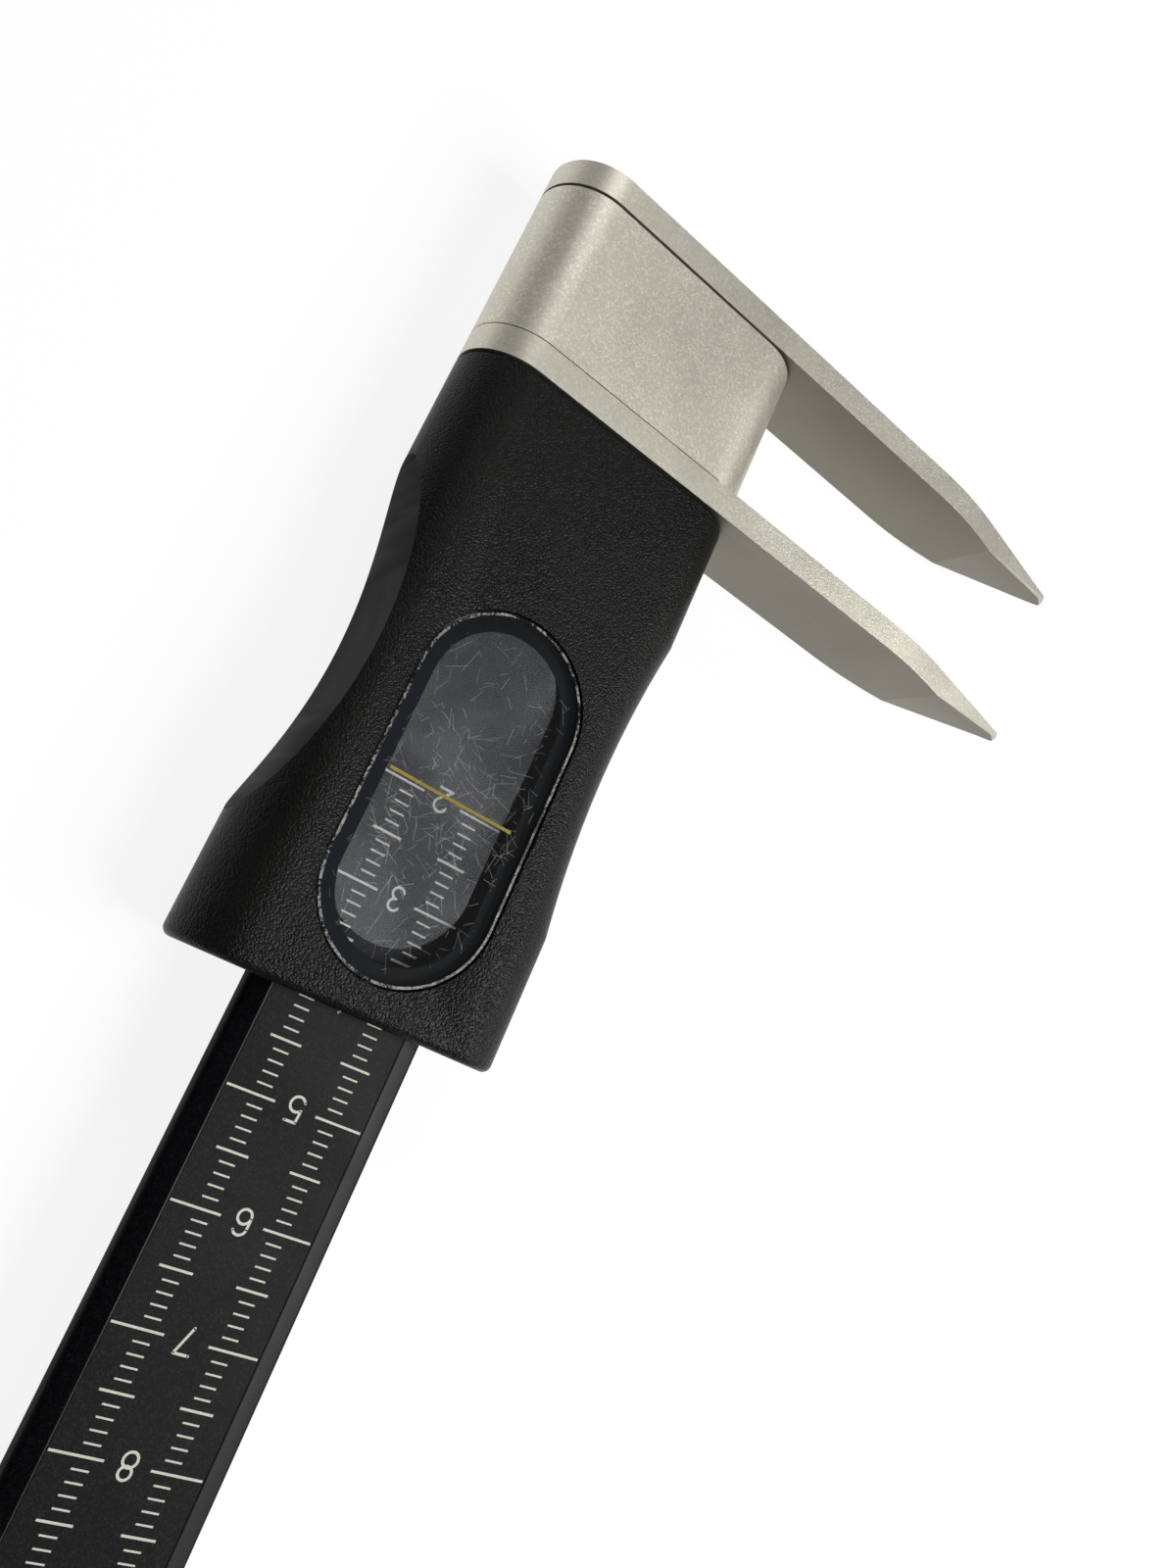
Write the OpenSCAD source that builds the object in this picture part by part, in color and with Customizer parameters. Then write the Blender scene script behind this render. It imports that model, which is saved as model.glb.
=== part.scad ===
// Sliding caliper for bone breadths: two slim blades on a scaled beam.
// X runs along the beam to its tail, Y to the tips of the blades, Z up out of the scale.
// X = 0 is the zero of the scale, at the fixed tip's measuring face. Z = 0 is the back, on which it lies.

/* [Section] */
// Width of the head, the jaws' roots and the slider
section_w = 33.4; // [31:0.2:38]
// Depth of the head, the jaws and the slider, with fully round sides
section_d = 12; // [11.6:0.2:15]

/* [Scale] */
// Reading with the jaws closed
reading_min = 20; // [16:1:30]
// Largest reading
reading_max = 160; // [100:10:200]
// Width of the inlaid scale strip
strip_w = 13.4; // [12:0.2:13.6]
// Thickness of the inlaid scale strip
strip_t = 1; // [0.6:0.1:1.4]
// Depth of the engraved marks
mark_depth = 0.08; // [0.04:0.01:0.2]
// Distance of the marks' inner ends from the centreline
mark_in = 2; // [1.6:0.1:2.4]
// Length of a centimetre mark, on each side of the numerals
mark_cm_l = 4.6; // [3.6:0.1:4.8]
// Length of a half-centimetre mark
mark_half_l = 3; // [2.4:0.1:3.5]
// Length of a millimetre mark
mark_mm_l = 1.5; // [1:0.1:2.2]
// Line width of the centimetre and half-centimetre marks
mark_line = 0.24; // [0.16:0.02:0.3]
// Line width of the millimetre marks
mark_fine = 0.18; // [0.1:0.02:0.2]

/* [Jaws] */
// Reach of the tips beyond the side of the section
jaw_reach = 49.7; // [40:0.5:70]
// Thickness of a blade
jaw_t = 3; // [2.4:0.1:4]
// Thickness of a blade at its tip
tip_t = 0.6; // [0.5:0.1:1.2]
// Radius of the tip, seen from the end of the beam
tip_r = 1.5; // [0.6:0.1:2]
// Length of the pointed part, from the tip
taper_l = 22.2; // [18:0.5:28]
// Radius where the straight part passes into the pointed part
shoulder_r = 44; // [15:1:50]
// Length of the thinned part, from the tip
relief_l = 15.4; // [10:0.2:18]
// Length of the flat measuring land at the tip
land_l = 1.5; // [1:0.1:3]
// Width of the thinned tip's bevels on its side, at the tip, where they have grown widest
bevel_w = 0.4; // [0.4:0.1:0.8]
// Depth of these bevels into the tip's edges
bevel_h = 0.2; // [0.2:0.05:0.4]

/* [Beam] */
// Width of the beam
beam_w = 17.6; // [17.2:0.1:18]
// Thickness of the beam
beam_t = 3.4; // [3:0.1:4]
// Depth of the scale below the front of the slider
scale_depth = 3.4; // [3.2:0.1:3.8]
// Width of the sloping lips beside the scale
lip_w = 1.9; // [1:0.1:2]
// Fall of the sloping lips
lip_fall = 0.6; // [0.3:0.1:0.9]
// Depth of the beam's seat in the head block
beam_seat = 13.9; // [10:0.1:14.5]

/* [Slider] */
// Length of the slider's housing
slider_l = 60.8; // [58:0.2:80]
// Thickness of the housing's front wall
front_wall = 2.1; // [1.9:0.1:2.2]
// Thickness of the rear cover
cover_t = 2; // [1.8:0.1:2.4]
// Length of the rear cover
cover_l = 38; // [30:0.5:42]
// Width of the rear cover
cover_w = 17; // [15:0.5:18]
// Corner radius of the rear cover
cover_r = 2; // [1:0.1:3]
// Thickness of the wall at the tail end
tail_wall = 2; // [1.6:0.1:2.4]
// Edge radius at the housing's tail end
tail_round = 0.9; // [0.4:0.1:1.2]
// Edge radius at the housing's other end, by the moving jaw
jaw_end_round = 0.3; // [0.1:0.1:0.8]
// Distance from the moving jaw's face to the middle of the thumb scallop and the waist
grip_x = 33.7; // [32:0.1:36]
// Depth of the thumb scallop
scallop_depth = 3.75; // [2.5:0.05:4]
// Radius of the thumb scallop
scallop_r = 48.6; // [40:0.2:60]
// Depth of the waist on the side of the tips
waist_depth = 1.35; // [0.8:0.05:1.8]
// Radius of the waist
waist_r = 100; // [80:1:120]

/* [Window] */
// Width of the window's opening
window_w = 18; // [17:0.1:18.4]
// Length of the window's opening
window_l = 36.7; // [34:0.1:37.2]
// Distance from the window to the housing's tail end
window_margin = 3; // [2.6:0.1:5]
// Thickness of the lens
lens_t = 1.1; // [0.8:0.05:1.15]
// Recess of the lens below the front
lens_recess = 0.1; // [0.05:0.05:0.15]
// Width of the ledge that the lens sits on
ledge_w = 2; // [1.6:0.1:2.2]
// Thickness of the lens gasket
gasket_t = 0.15; // [0.1:0.05:0.2]
// Line width of the hairline
hair_w = 0.3; // [0.2:0.05:0.5]
// Thickness of the hairline
hair_t = 0.08; // [0.05:0.01:0.1]
// Offset of the hairline from the window's middle, to the tail
hair_shift = 0.4; // [0:0.1:1]

/* [Carrier] */
// Thickness of the carrier's side walls
carrier_wall = 1.55; // [1.45:0.05:1.7]
// Thickness of the carrier's flange behind the moving jaw
flange_l = 7; // [6:0.1:8]
// Wall of the housing round the flange
flange_wall = 1.6; // [1.4:0.1:1.8]
// Thickness of the side glides
glide_t = 0.9; // [0.7:0.05:1]
// Length of the side glides
glide_l = 12; // [8:0.5:14]
// Length of the brake pad
pad_l = 10; // [8:0.5:14]
// Width of the brake pad
pad_w = 8; // [6:0.5:10]
// Thickness of the brake pad
pad_t = 1.2; // [1:0.1:1.4]
// Thickness of the leaf spring's steel
leaf_t = 0.25; // [0.2:0.05:0.3]

/* [End cap] */
// Length of the end cap
cap_l = 8; // [7:0.5:14]
// Width of the end cap
cap_w = 26; // [24:0.5:33]
// Edge radius of the end cap
cap_round = 0.8; // [0.4:0.1:1]
// Wall between the end cap's seat and its outer end
cap_wall = 2; // [1.5:0.1:3]

/* [Fasteners] */
// Shank diameter of the jaws' screws
jaw_screw_d = 2.5; // [2:0.1:2.6]
// Length of the jaws' screws
jaw_screw_l = 8.5; // [7:0.5:9]
// Distance of the jaws' screws from the ends of the section
jaw_screw_inset = 4.9; // [4.7:0.1:5]
// Diameter of the jaws' dowels
dowel_d = 2; // [1.5:0.1:2]
// Length of the jaws' dowels
dowel_l = 8; // [6:0.5:9]
// Distance between a jaw's dowels
dowel_spacing = 10; // [8:0.5:12]
// Height of the jaws' dowels above the back
dowel_h = 3.3; // [3.2:0.05:3.5]
// Shank diameter of the head screws
head_screw_d = 3; // [2.5:0.1:3]
// Distance between the head screws
head_screw_spacing = 9; // [8:0.5:11]
// Shank diameter of the cover screws
cover_screw_d = 2; // [1.6:0.1:2.2]
// Length of the cover screws
cover_screw_l = 4.4; // [4:0.1:4.6]
// Distance of the cover screws from the cover's edges
cover_screw_inset = 2.8; // [2.6:0.1:3]
// Outer diameter of the threaded inserts
insert_d = 3; // [2.8:0.1:3.2]
// Length of the threaded inserts
insert_l = 2.3; // [2:0.1:2.5]
// Diameter of the end cap's screw
cap_screw_d = 2.5; // [2:0.1:2.6]

/* [Clearances] */
// Between the head block and the closed moving jaw
closed_gap = 0.1; // [0.05:0.05:0.2]
// Shadow gap between the fixed jaw and the head block's rim
shadow_gap = 0.35; // [0.2:0.05:0.5]
// Inset of the head block's neck behind that gap
shadow_inset = 1; // [0.6:0.1:1.4]
// Between the moving jaw and the housing
jaw_gap = 0.3; // [0.2:0.05:0.5]
// Between the beam and the carrier
run_gap = 0.15; // [0.1:0.05:0.2]
// Between the beam and the glides or the brake pad
glide_gap = 0.05; // [0.03:0.01:0.08]
// Between the beam and the openings of the jaw and the housing
pass_gap = 0.35; // [0.25:0.05:0.5]
// Between the open slider and the end cap
stop_gap = 0.2; // [0.1:0.05:0.4]
// Between pieces that are fitted into each other
seat_gap = 0.05; // [0.02:0.01:0.08]
// Between the lens and the edge of its opening
lens_gap = 0.25; // [0.15:0.05:0.35]

/* [Hidden] */
$fn = 64;
eps = 0.01;
over = 1;

round_r = section_d / 2;
round_y = section_w / 2 - round_r;
side_y = section_w / 2;

travel = reading_max - reading_min;
tip_y = side_y + jaw_reach;
fixed_x = -tip_t;
block_x = fixed_x + jaw_t;
block_end = reading_min - closed_gap;
moving_x = reading_min;
flange_x = moving_x + jaw_t;
housing_x = flange_x + jaw_gap;
housing_end = housing_x + slider_l;
cap_x = housing_end + travel + stop_gap;
beam_x = block_end - beam_seat;
beam_end = cap_x + cap_l - cap_wall;
grip_mid = moving_x + grip_x;

scale_z = section_d - scale_depth;
beam_z = scale_z - beam_t;
inside_top = section_d - front_wall;
inside_bottom = cover_t + seat_gap;
channel_y = beam_w / 2 + run_gap;
carrier_y = channel_y + carrier_wall;
chamber_y = carrier_y + seat_gap;
flange_r = round_r - flange_wall - seat_gap;
flange_end = flange_x + flange_l;
carrier_end = housing_end - tail_wall - seat_gap;

window_x = housing_end - window_margin - window_l;
window_mid = window_x + window_l / 2;
hair_x = window_mid + hair_shift;
lens_top = section_d - lens_recess;
lens_z = lens_top - lens_t;
ledge_z = lens_z - gasket_t;
aperture_w = window_w - 2 * ledge_w;

taper_run = taper_l - tip_r;
taper_a = acos(tip_r / norm([round_r, taper_run])) - atan2(taper_run, round_r);
shoulder_y = tip_y - taper_l;
screw_y = side_y - jaw_screw_inset;
head_screw_x = (beam_x + block_end) / 2;
head_screw_l = scale_z - strip_t - 0.4;
glide_h = beam_t - 2 * lip_fall;
pad_mid = (flange_end + carrier_end) / 2;
pad_z = beam_z - glide_gap - pad_t;
leaf_rise = pad_z - inside_bottom;
leaf_l = pad_l + 4;

function arc(c, r, from, to, n = 6) =
    [for (i = [0:n]) let (a = from + (to - from) * i / n) c + r * [cos(a), sin(a)]];

// Places a flat shape drawn in Y and Z and gives it a length along X
module along_x(x, l) {
    translate([x, 0, 0]) rotate([90, 0, 90]) linear_extrude(l) children();
}

// Half of a bar's length section, with an edge radius at each of its two ends
module bar_half(l, r, r0, r1) {
    translate([0, r0]) square([r, l - r0 - r1]);
    square([r - max(r0, r1), l]);
    square([r - r0, l / 2]);
    translate([0, l / 2]) square([r - r1, l / 2]);
    if (r0 > 0) translate([r - r0, r0]) circle(r = r0);
    if (r1 > 0) translate([r - r1, l - r1]) circle(r = r1);
}

// A round bar along X, with an edge radius at each end
module bar_x(x, l, r, r0 = 0, r1 = 0) {
    translate([x, 0, 0]) rotate([0, 90, 0]) rotate_extrude($fn = 96) bar_half(l, r, r0, r1);
}

// A flat plate of the same length section, w wide
module plate_x(x, l, w, d, r0 = 0, r1 = 0) {
    translate([x, w / 2, d / 2]) rotate([90, 0, 0]) linear_extrude(w) rotate([0, 0, -90]) {
        bar_half(l, d / 2, r0, r1);
        mirror([1, 0]) bar_half(l, d / 2, r0, r1);
    }
}

// A slab along X with two fully round sides, and an edge radius at each end
module slab_x(x, l, w, d, r0 = 0, r1 = 0) {
    for (s = [-1, 1]) translate([0, s * (w - d) / 2, d / 2]) bar_x(x, l, d / 2, r0, r1);
    plate_x(x, l, w - d, d, r0, r1);
}

// A flat shape with two round ends along X, in the plane of the scale
module window_shape(l, w) {
    for (s = [-1, 1]) translate([s * (l - w) / 2, 0]) circle(d = w);
    square([l - w, w], center = true);
}

// A countersunk screw along +Z, its head's face at Z = 0, with a hexagon socket
module screw(d, l) {
    difference() {
        union() {
            cylinder(h = 0.55 * d, d1 = 1.85 * d, d2 = d);
            cylinder(h = l, d = d);
        }
        translate([0, 0, -eps]) cylinder(h = 0.4 * d, d = 0.7 * d, $fn = 6);
    }
}

// The hole that such a screw needs, with its countersink
module screw_hole(d, l) {
    hole_d = d + 2 * seat_gap;
    cylinder(h = 0.55 * d, d1 = 1.85 * d + 2 * seat_gap, d2 = hole_d);
    cylinder(h = l + seat_gap, d = hole_d);
    translate([0, 0, -over]) cylinder(h = over + eps, d = 1.85 * d + 2 * seat_gap);
}

// Outline of the beam's section, with a gap all round it
module beam_section(gap = 0) {
    w = beam_w / 2 + gap;
    z0 = beam_z - gap;
    z1 = scale_z + gap;
    polygon([[-w + lip_w, z0], [w - lip_w, z0], [w, z0 + lip_fall], [w, z1 - lip_fall],
        [w - lip_w, z1], [-w + lip_w, z1], [-w, z1 - lip_fall], [-w, z0 + lip_fall]]);
}

// A plain rectangular opening that the beam passes through with room
module beam_passage(x, l) {
    translate([x, -beam_w / 2 - pass_gap, beam_z - pass_gap])
        cube([l, beam_w + 2 * pass_gap, beam_t + 2 * pass_gap]);
}

// Screws and dowels of a jaw share their places on both jaws
module at_jaw_screws(x) {
    for (s = [-1, 1]) translate([x, s * screw_y, round_r]) rotate([0, 90, 0]) children();
}

module at_jaw_dowels(x) {
    for (s = [-1, 1]) translate([x, s * dowel_spacing / 2, dowel_h]) rotate([0, 90, 0]) children();
}

// Outline of a blade in Y and Z beyond its round root: straight part, shoulder, taper and round tip
module blade_outline() {
    run = shoulder_r * tan(taper_a / 2);
    upper = concat([[-round_y, 2 * round_r]],
        arc([shoulder_y - run, 2 * round_r - shoulder_r], shoulder_r, 90, 90 - taper_a),
        arc([tip_y - tip_r, round_r], tip_r, 90 - taper_a, 0));
    lower = [for (i = [len(upper) - 2:-1:0]) [upper[i][0], 2 * round_r - upper[i][1]]];
    polygon(concat(upper, lower));
}

// A blade whose side to the tail is thinned towards the tip, with its face to the head at x
module blade(x) {
    tail = x + jaw_t;
    thin = x + tip_t;
    start = tip_y - relief_l;
    thinning = (jaw_t - tip_t) / (relief_l - land_l);
    edge_z = round_r - (start - shoulder_y) * tan(taper_a);
    bevel_start = 0.02;
    bevel_a = atan((bevel_w * bevel_h / norm([bevel_w, bevel_h]) - bevel_start) / relief_l);
    difference() {
        union() {
            translate([0, -round_y, round_r]) bar_x(x, jaw_t, round_r);
            along_x(x, jaw_t) blade_outline();
        }
        linear_extrude(2 * section_d, center = true)
            polygon([[tail, start], [thin, tip_y - land_l], [thin, tip_y + over], [tail + over, tip_y + over],
                [tail + over, start]]);
        for (s = [0, 1]) translate([tail, start, round_r]) mirror([0, 0, s]) translate([0, 0, edge_z])
            rotate([-taper_a, 0, 0]) rotate([0, 0, atan(thinning * cos(taper_a))])
            rotate([0, atan2(bevel_w, bevel_h), 0]) rotate([-bevel_a, 0, 0])
            translate([-jaw_t, -relief_l / 2, -bevel_start])
            cube([3 * jaw_t, 2 * relief_l, section_d]);
    }
}

// Marks of the scale as flat shapes, at their places on the strip
module scale_marks() {
    for (m = [reading_min:reading_max]) {
        is_cm = m % 10 == 0;
        is_half = m % 5 == 0;
        l = is_cm ? mark_cm_l : is_half ? mark_half_l : mark_mm_l;
        near = is_half ? mark_in : mark_in + (mark_half_l - mark_mm_l) / 2;
        line = is_half ? mark_line : mark_fine;
        for (s = [-1, 1]) translate([hair_x + m - reading_min, s * (near + l / 2)])
            square([line, l], center = true);
    }
}

module beam() {
    color("#222326") difference() {
        along_x(beam_x, beam_end - beam_x) beam_section();
        translate([beam_x - over, -strip_w / 2 - seat_gap, scale_z - strip_t])
            cube([beam_end - beam_x + 2 * over, strip_w + 2 * seat_gap, strip_t + over]);
        for (s = [-1, 1]) translate([head_screw_x, s * head_screw_spacing / 2, beam_z - eps])
            cylinder(h = beam_t, d = head_screw_d + 2 * seat_gap);
        translate([cap_x + (cap_l - cap_wall) / 2, 0, beam_z - eps])
            cylinder(h = beam_t, d = cap_screw_d + 2 * seat_gap);
    }
}

module scale_strip() {
    color("#2c2d30") difference() {
        translate([beam_x, -strip_w / 2, scale_z - strip_t]) cube([beam_end - beam_x, strip_w, strip_t]);
        translate([0, 0, scale_z - mark_depth]) linear_extrude(over) scale_marks();
    }
}

module head_block() {
    neck_w = section_w - 2 * shadow_inset;
    neck_d = section_d - 2 * shadow_inset;
    color("#b9b6ad") difference() {
        union() {
            slab_x(block_x + shadow_gap, block_end - block_x - shadow_gap, section_w, section_d);
            translate([0, 0, shadow_inset]) slab_x(block_x, shadow_gap + over, neck_w, neck_d);
        }
        along_x(beam_x - seat_gap, beam_seat + over) beam_section(seat_gap);
        for (s = [-1, 1]) translate([head_screw_x, s * head_screw_spacing / 2, 0])
            screw_hole(head_screw_d, beam_z);
        at_jaw_screws(fixed_x) screw_hole(jaw_screw_d, jaw_screw_l);
        at_jaw_dowels(fixed_x) cylinder(h = dowel_l + seat_gap, d = dowel_d + 2 * seat_gap);
    }
}

module fixed_jaw() {
    color("#bdbab1") difference() {
        blade(fixed_x);
        at_jaw_screws(fixed_x) screw_hole(jaw_screw_d, jaw_screw_l);
        at_jaw_dowels(fixed_x - over) cylinder(h = jaw_t + 2 * over, d = dowel_d + 2 * seat_gap);
    }
}

module fixed_jaw_screws() {
    color("#8f9093") at_jaw_screws(fixed_x) screw(jaw_screw_d, jaw_screw_l);
}

module fixed_jaw_dowels() {
    color("#a5a6a8") at_jaw_dowels(fixed_x) cylinder(h = dowel_l, d = dowel_d);
}

module head_screws() {
    color("#8f9093") for (s = [-1, 1]) translate([head_screw_x, s * head_screw_spacing / 2, 0])
        screw(head_screw_d, head_screw_l);
}

module end_cap() {
    color("#1b1b1d") difference() {
        slab_x(cap_x, cap_l, cap_w, section_d, cap_round, cap_round);
        along_x(cap_x - over, cap_l - cap_wall + over + seat_gap) beam_section(seat_gap);
        translate([cap_x + (cap_l - cap_wall) / 2, 0, 0]) screw_hole(cap_screw_d, beam_z);
    }
}

module end_cap_screw() {
    color("#8f9093") translate([cap_x + (cap_l - cap_wall) / 2, 0, 0])
        screw(cap_screw_d, scale_z - strip_t - 0.4);
}

module moving_jaw() {
    color("#bdbab1") difference() {
        blade(moving_x);
        beam_passage(moving_x - over, jaw_t + 2 * over);
        at_jaw_screws(moving_x) screw_hole(jaw_screw_d, jaw_screw_l);
        at_jaw_dowels(moving_x - over) cylinder(h = jaw_t + 2 * over, d = dowel_d + 2 * seat_gap);
    }
}

module moving_jaw_screws() {
    color("#8f9093") at_jaw_screws(moving_x) screw(jaw_screw_d, jaw_screw_l);
}

module moving_jaw_dowels() {
    color("#a5a6a8") at_jaw_dowels(moving_x) cylinder(h = dowel_l, d = dowel_d);
}

// Carriage that runs on the beam: a flange behind the moving jaw, a floor, two walls and two top rails
module carrier() {
    top = inside_top - seat_gap;
    floor_z = inside_bottom;
    rail_y = aperture_w / 2 + 0.2;
    color("#141516") difference() {
        union() {
            translate([0, 0, round_r - flange_r]) slab_x(flange_x, flange_l, 2 * (round_y + flange_r), 2 * flange_r);
            translate([flange_x, -carrier_y, floor_z])
                cube([carrier_end - flange_x, 2 * carrier_y, top - floor_z]);
        }
        translate([flange_x - over, -channel_y, beam_z - run_gap])
            cube([carrier_end - flange_x + 2 * over, 2 * channel_y, beam_t + 2 * run_gap]);
        translate([flange_end, -rail_y, scale_z]) cube([carrier_end, 2 * rail_y, section_d]);
        translate([pad_mid - leaf_l / 2 - seat_gap, -pad_w / 2 - seat_gap, 0])
            cube([leaf_l + 2 * seat_gap, pad_w + 2 * seat_gap, scale_z]);
        for (s = [-1, 1]) translate([pad_mid - glide_l / 2 - seat_gap,
            s * (channel_y + glide_t / 2) - glide_t / 2 - seat_gap, beam_z + lip_fall - seat_gap])
            cube([glide_l + 2 * seat_gap, glide_t + 2 * seat_gap, glide_h + 2 * seat_gap]);
        at_jaw_screws(moving_x) screw_hole(jaw_screw_d, jaw_screw_l);
        at_jaw_dowels(moving_x) cylinder(h = dowel_l + seat_gap, d = dowel_d + 2 * seat_gap);
        at_cover_screws() {
            cylinder(h = cover_screw_l + seat_gap, d = cover_screw_d + 2 * seat_gap);
            cylinder(h = inside_bottom + insert_l + seat_gap, d = insert_d + 2 * seat_gap);
        }
    }
}

// Outer form of the slider: round sides, a waist towards the tips and a thumb scallop on the other side
module slider_form() {
    path_r = waist_r + round_r;
    waist_y = side_y - waist_depth + waist_r;
    half = sqrt(pow(path_r, 2) - pow(waist_y - round_y, 2));
    sweep = asin(half / path_r) + 2;
    difference() {
        slab_x(housing_x, slider_l, section_w, section_d, jaw_end_round, tail_round);
        translate([grip_mid, waist_y, 0]) difference() {
            intersection() {
                translate([0, 0, -over]) cylinder(h = section_d + 2 * over, r = path_r, $fn = 256);
                translate([-half, -path_r - over, -2 * over]) cube([2 * half, section_w, section_d + 4 * over]);
            }
            translate([0, 0, round_r]) rotate([0, 0, 270 - sweep])
                rotate_extrude(angle = 2 * sweep, $fn = 256) translate([path_r, 0]) circle(r = round_r);
        }
        translate([grip_mid, -side_y + scallop_depth - scallop_r, -over])
            cylinder(h = section_d + 2 * over, r = scallop_r, $fn = 256);
    }
}

// Outline of the rear cover and of its opening
module cover_outline(gap = 0) {
    l = cover_l + 2 * gap;
    w = cover_w + 2 * gap;
    square([l - 2 * cover_r, w], center = true);
    square([l, w - 2 * cover_r], center = true);
    for (sx = [-1, 1], sy = [-1, 1])
        translate([sx * (l / 2 - cover_r), sy * (w / 2 - cover_r)]) circle(r = cover_r);
}

// The cover's four screws and their inserts share their places
module at_cover_screws() {
    for (sx = [-1, 1], sy = [-1, 1])
        translate([pad_mid + sx * (cover_l / 2 - cover_screw_inset), sy * (cover_w / 2 - cover_screw_inset), 0])
            children();
}

module slider_housing() {
    color("#1f1f1f") difference() {
        slider_form();
        translate([0, 0, round_r - flange_r - seat_gap])
            slab_x(housing_x - over, flange_end + seat_gap - housing_x + over, 2 * (round_y + flange_r + seat_gap),
                2 * (flange_r + seat_gap));
        translate([housing_x - over, -chamber_y, cover_t])
            cube([housing_end - tail_wall - housing_x + over, 2 * chamber_y, inside_top - cover_t]);
        beam_passage(housing_end - tail_wall - over, tail_wall + 2 * over);
        translate([window_mid, 0, ledge_z]) linear_extrude(section_d) window_shape(window_l, window_w);
        translate([window_mid, 0, scale_z]) linear_extrude(section_d)
            window_shape(window_l - 2 * ledge_w, aperture_w);
        translate([pad_mid, 0, -over]) linear_extrude(cover_t + 2 * over) cover_outline(seat_gap);
    }
}

module rear_cover() {
    color("#1d1d1e") difference() {
        translate([pad_mid, 0, 0]) linear_extrude(cover_t) cover_outline();
        at_cover_screws() screw_hole(cover_screw_d, cover_screw_l);
    }
}

module side_glide(s) {
    inner = beam_w / 2 + glide_gap;
    outer = channel_y + glide_t;
    color("#e4e2da") translate([pad_mid - glide_l / 2, s > 0 ? inner : -outer, beam_z + lip_fall])
        cube([glide_l, outer - inner, glide_h]);
}

module brake_pad() {
    color("#d8d5cb") translate([pad_mid - pad_l / 2, -pad_w / 2, pad_z]) cube([pad_l, pad_w, pad_t]);
}

// Arched leaf spring between the rear cover and the brake pad
module brake_spring() {
    rise = leaf_rise - leaf_t;
    arch_r = (pow(leaf_l / 2, 2) + pow(rise, 2)) / (2 * rise);
    color("#9a9a98") translate([pad_mid, (pad_w - 1) / 2, inside_bottom + rise - arch_r])
        rotate([90, 0, 0]) linear_extrude(pad_w - 1) intersection() {
            difference() {
                circle(r = arch_r + leaf_t, $fn = 256);
                circle(r = arch_r, $fn = 256);
            }
            translate([-leaf_l / 2, arch_r - rise]) square([leaf_l, rise + 2 * leaf_t]);
        }
}

module window_lens() {
    color("#9fb4c4", 0.35) translate([window_mid, 0, lens_z]) linear_extrude(lens_t)
        window_shape(window_l - 2 * lens_gap, window_w - 2 * lens_gap);
}

module window_gasket() {
    color("#0c0d0e") translate([window_mid, 0, ledge_z]) linear_extrude(gasket_t) difference() {
        window_shape(window_l - 2 * lens_gap, window_w - 2 * lens_gap);
        window_shape(window_l - 2 * ledge_w, aperture_w);
    }
}

module hairline() {
    color("#d0a81e") translate([hair_x, 0, lens_z - hair_t / 2])
        cube([hair_w, aperture_w - 0.6, hair_t], center = true);
}

module cover_screws() {
    color("#8f9093") at_cover_screws() screw(cover_screw_d, cover_screw_l);
}

module threaded_inserts() {
    color("#c9a24a") at_cover_screws() translate([0, 0, inside_bottom]) difference() {
        cylinder(h = insert_l, d = insert_d);
        translate([0, 0, -over]) cylinder(h = insert_l + 2 * over, d = cover_screw_d + 2 * seat_gap);
    }
}

beam();
scale_strip();
head_block();
fixed_jaw();
fixed_jaw_screws();
fixed_jaw_dowels();
head_screws();
end_cap();
end_cap_screw();
moving_jaw();
moving_jaw_screws();
moving_jaw_dowels();
carrier();
slider_housing();
rear_cover();
side_glide(-1);  // side_glide_left
side_glide(1);  // side_glide_right
brake_pad();
brake_spring();
window_lens();
window_gasket();
hairline();
cover_screws();
threaded_inserts();
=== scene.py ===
"""Finishes, scale, window and stage of a sliding caliper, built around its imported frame."""
import math
import random

import bmesh
import bpy
from mathutils import Matrix, Vector


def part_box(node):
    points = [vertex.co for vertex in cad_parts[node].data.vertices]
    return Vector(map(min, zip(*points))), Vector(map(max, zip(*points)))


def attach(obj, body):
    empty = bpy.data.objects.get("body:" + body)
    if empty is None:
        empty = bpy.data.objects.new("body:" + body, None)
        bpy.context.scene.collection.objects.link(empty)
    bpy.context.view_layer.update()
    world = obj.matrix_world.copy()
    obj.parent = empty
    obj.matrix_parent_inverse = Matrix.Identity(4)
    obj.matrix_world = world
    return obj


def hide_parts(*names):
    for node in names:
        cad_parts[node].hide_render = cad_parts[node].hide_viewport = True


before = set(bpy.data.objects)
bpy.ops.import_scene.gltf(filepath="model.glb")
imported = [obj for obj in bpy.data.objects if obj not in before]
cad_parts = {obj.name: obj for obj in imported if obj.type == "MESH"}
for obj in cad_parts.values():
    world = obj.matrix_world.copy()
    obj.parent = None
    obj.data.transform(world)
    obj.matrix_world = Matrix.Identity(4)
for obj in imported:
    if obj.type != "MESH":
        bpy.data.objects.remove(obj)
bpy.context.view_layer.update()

bl_info = {
    "name": "Sliding Caliper",
    "version": (1, 0, 0),
    "blender": (4, 5, 0),
    "location": "View3D > Sidebar > Caliper",
    "description": "Builds the finishes, scale and window of a sliding caliper around its packed frame",
    "category": "Add Mesh",
}

MM = 0.001
FRAME_BODY = "caliper_frame"
SLIDER_BODY = "slider"

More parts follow.
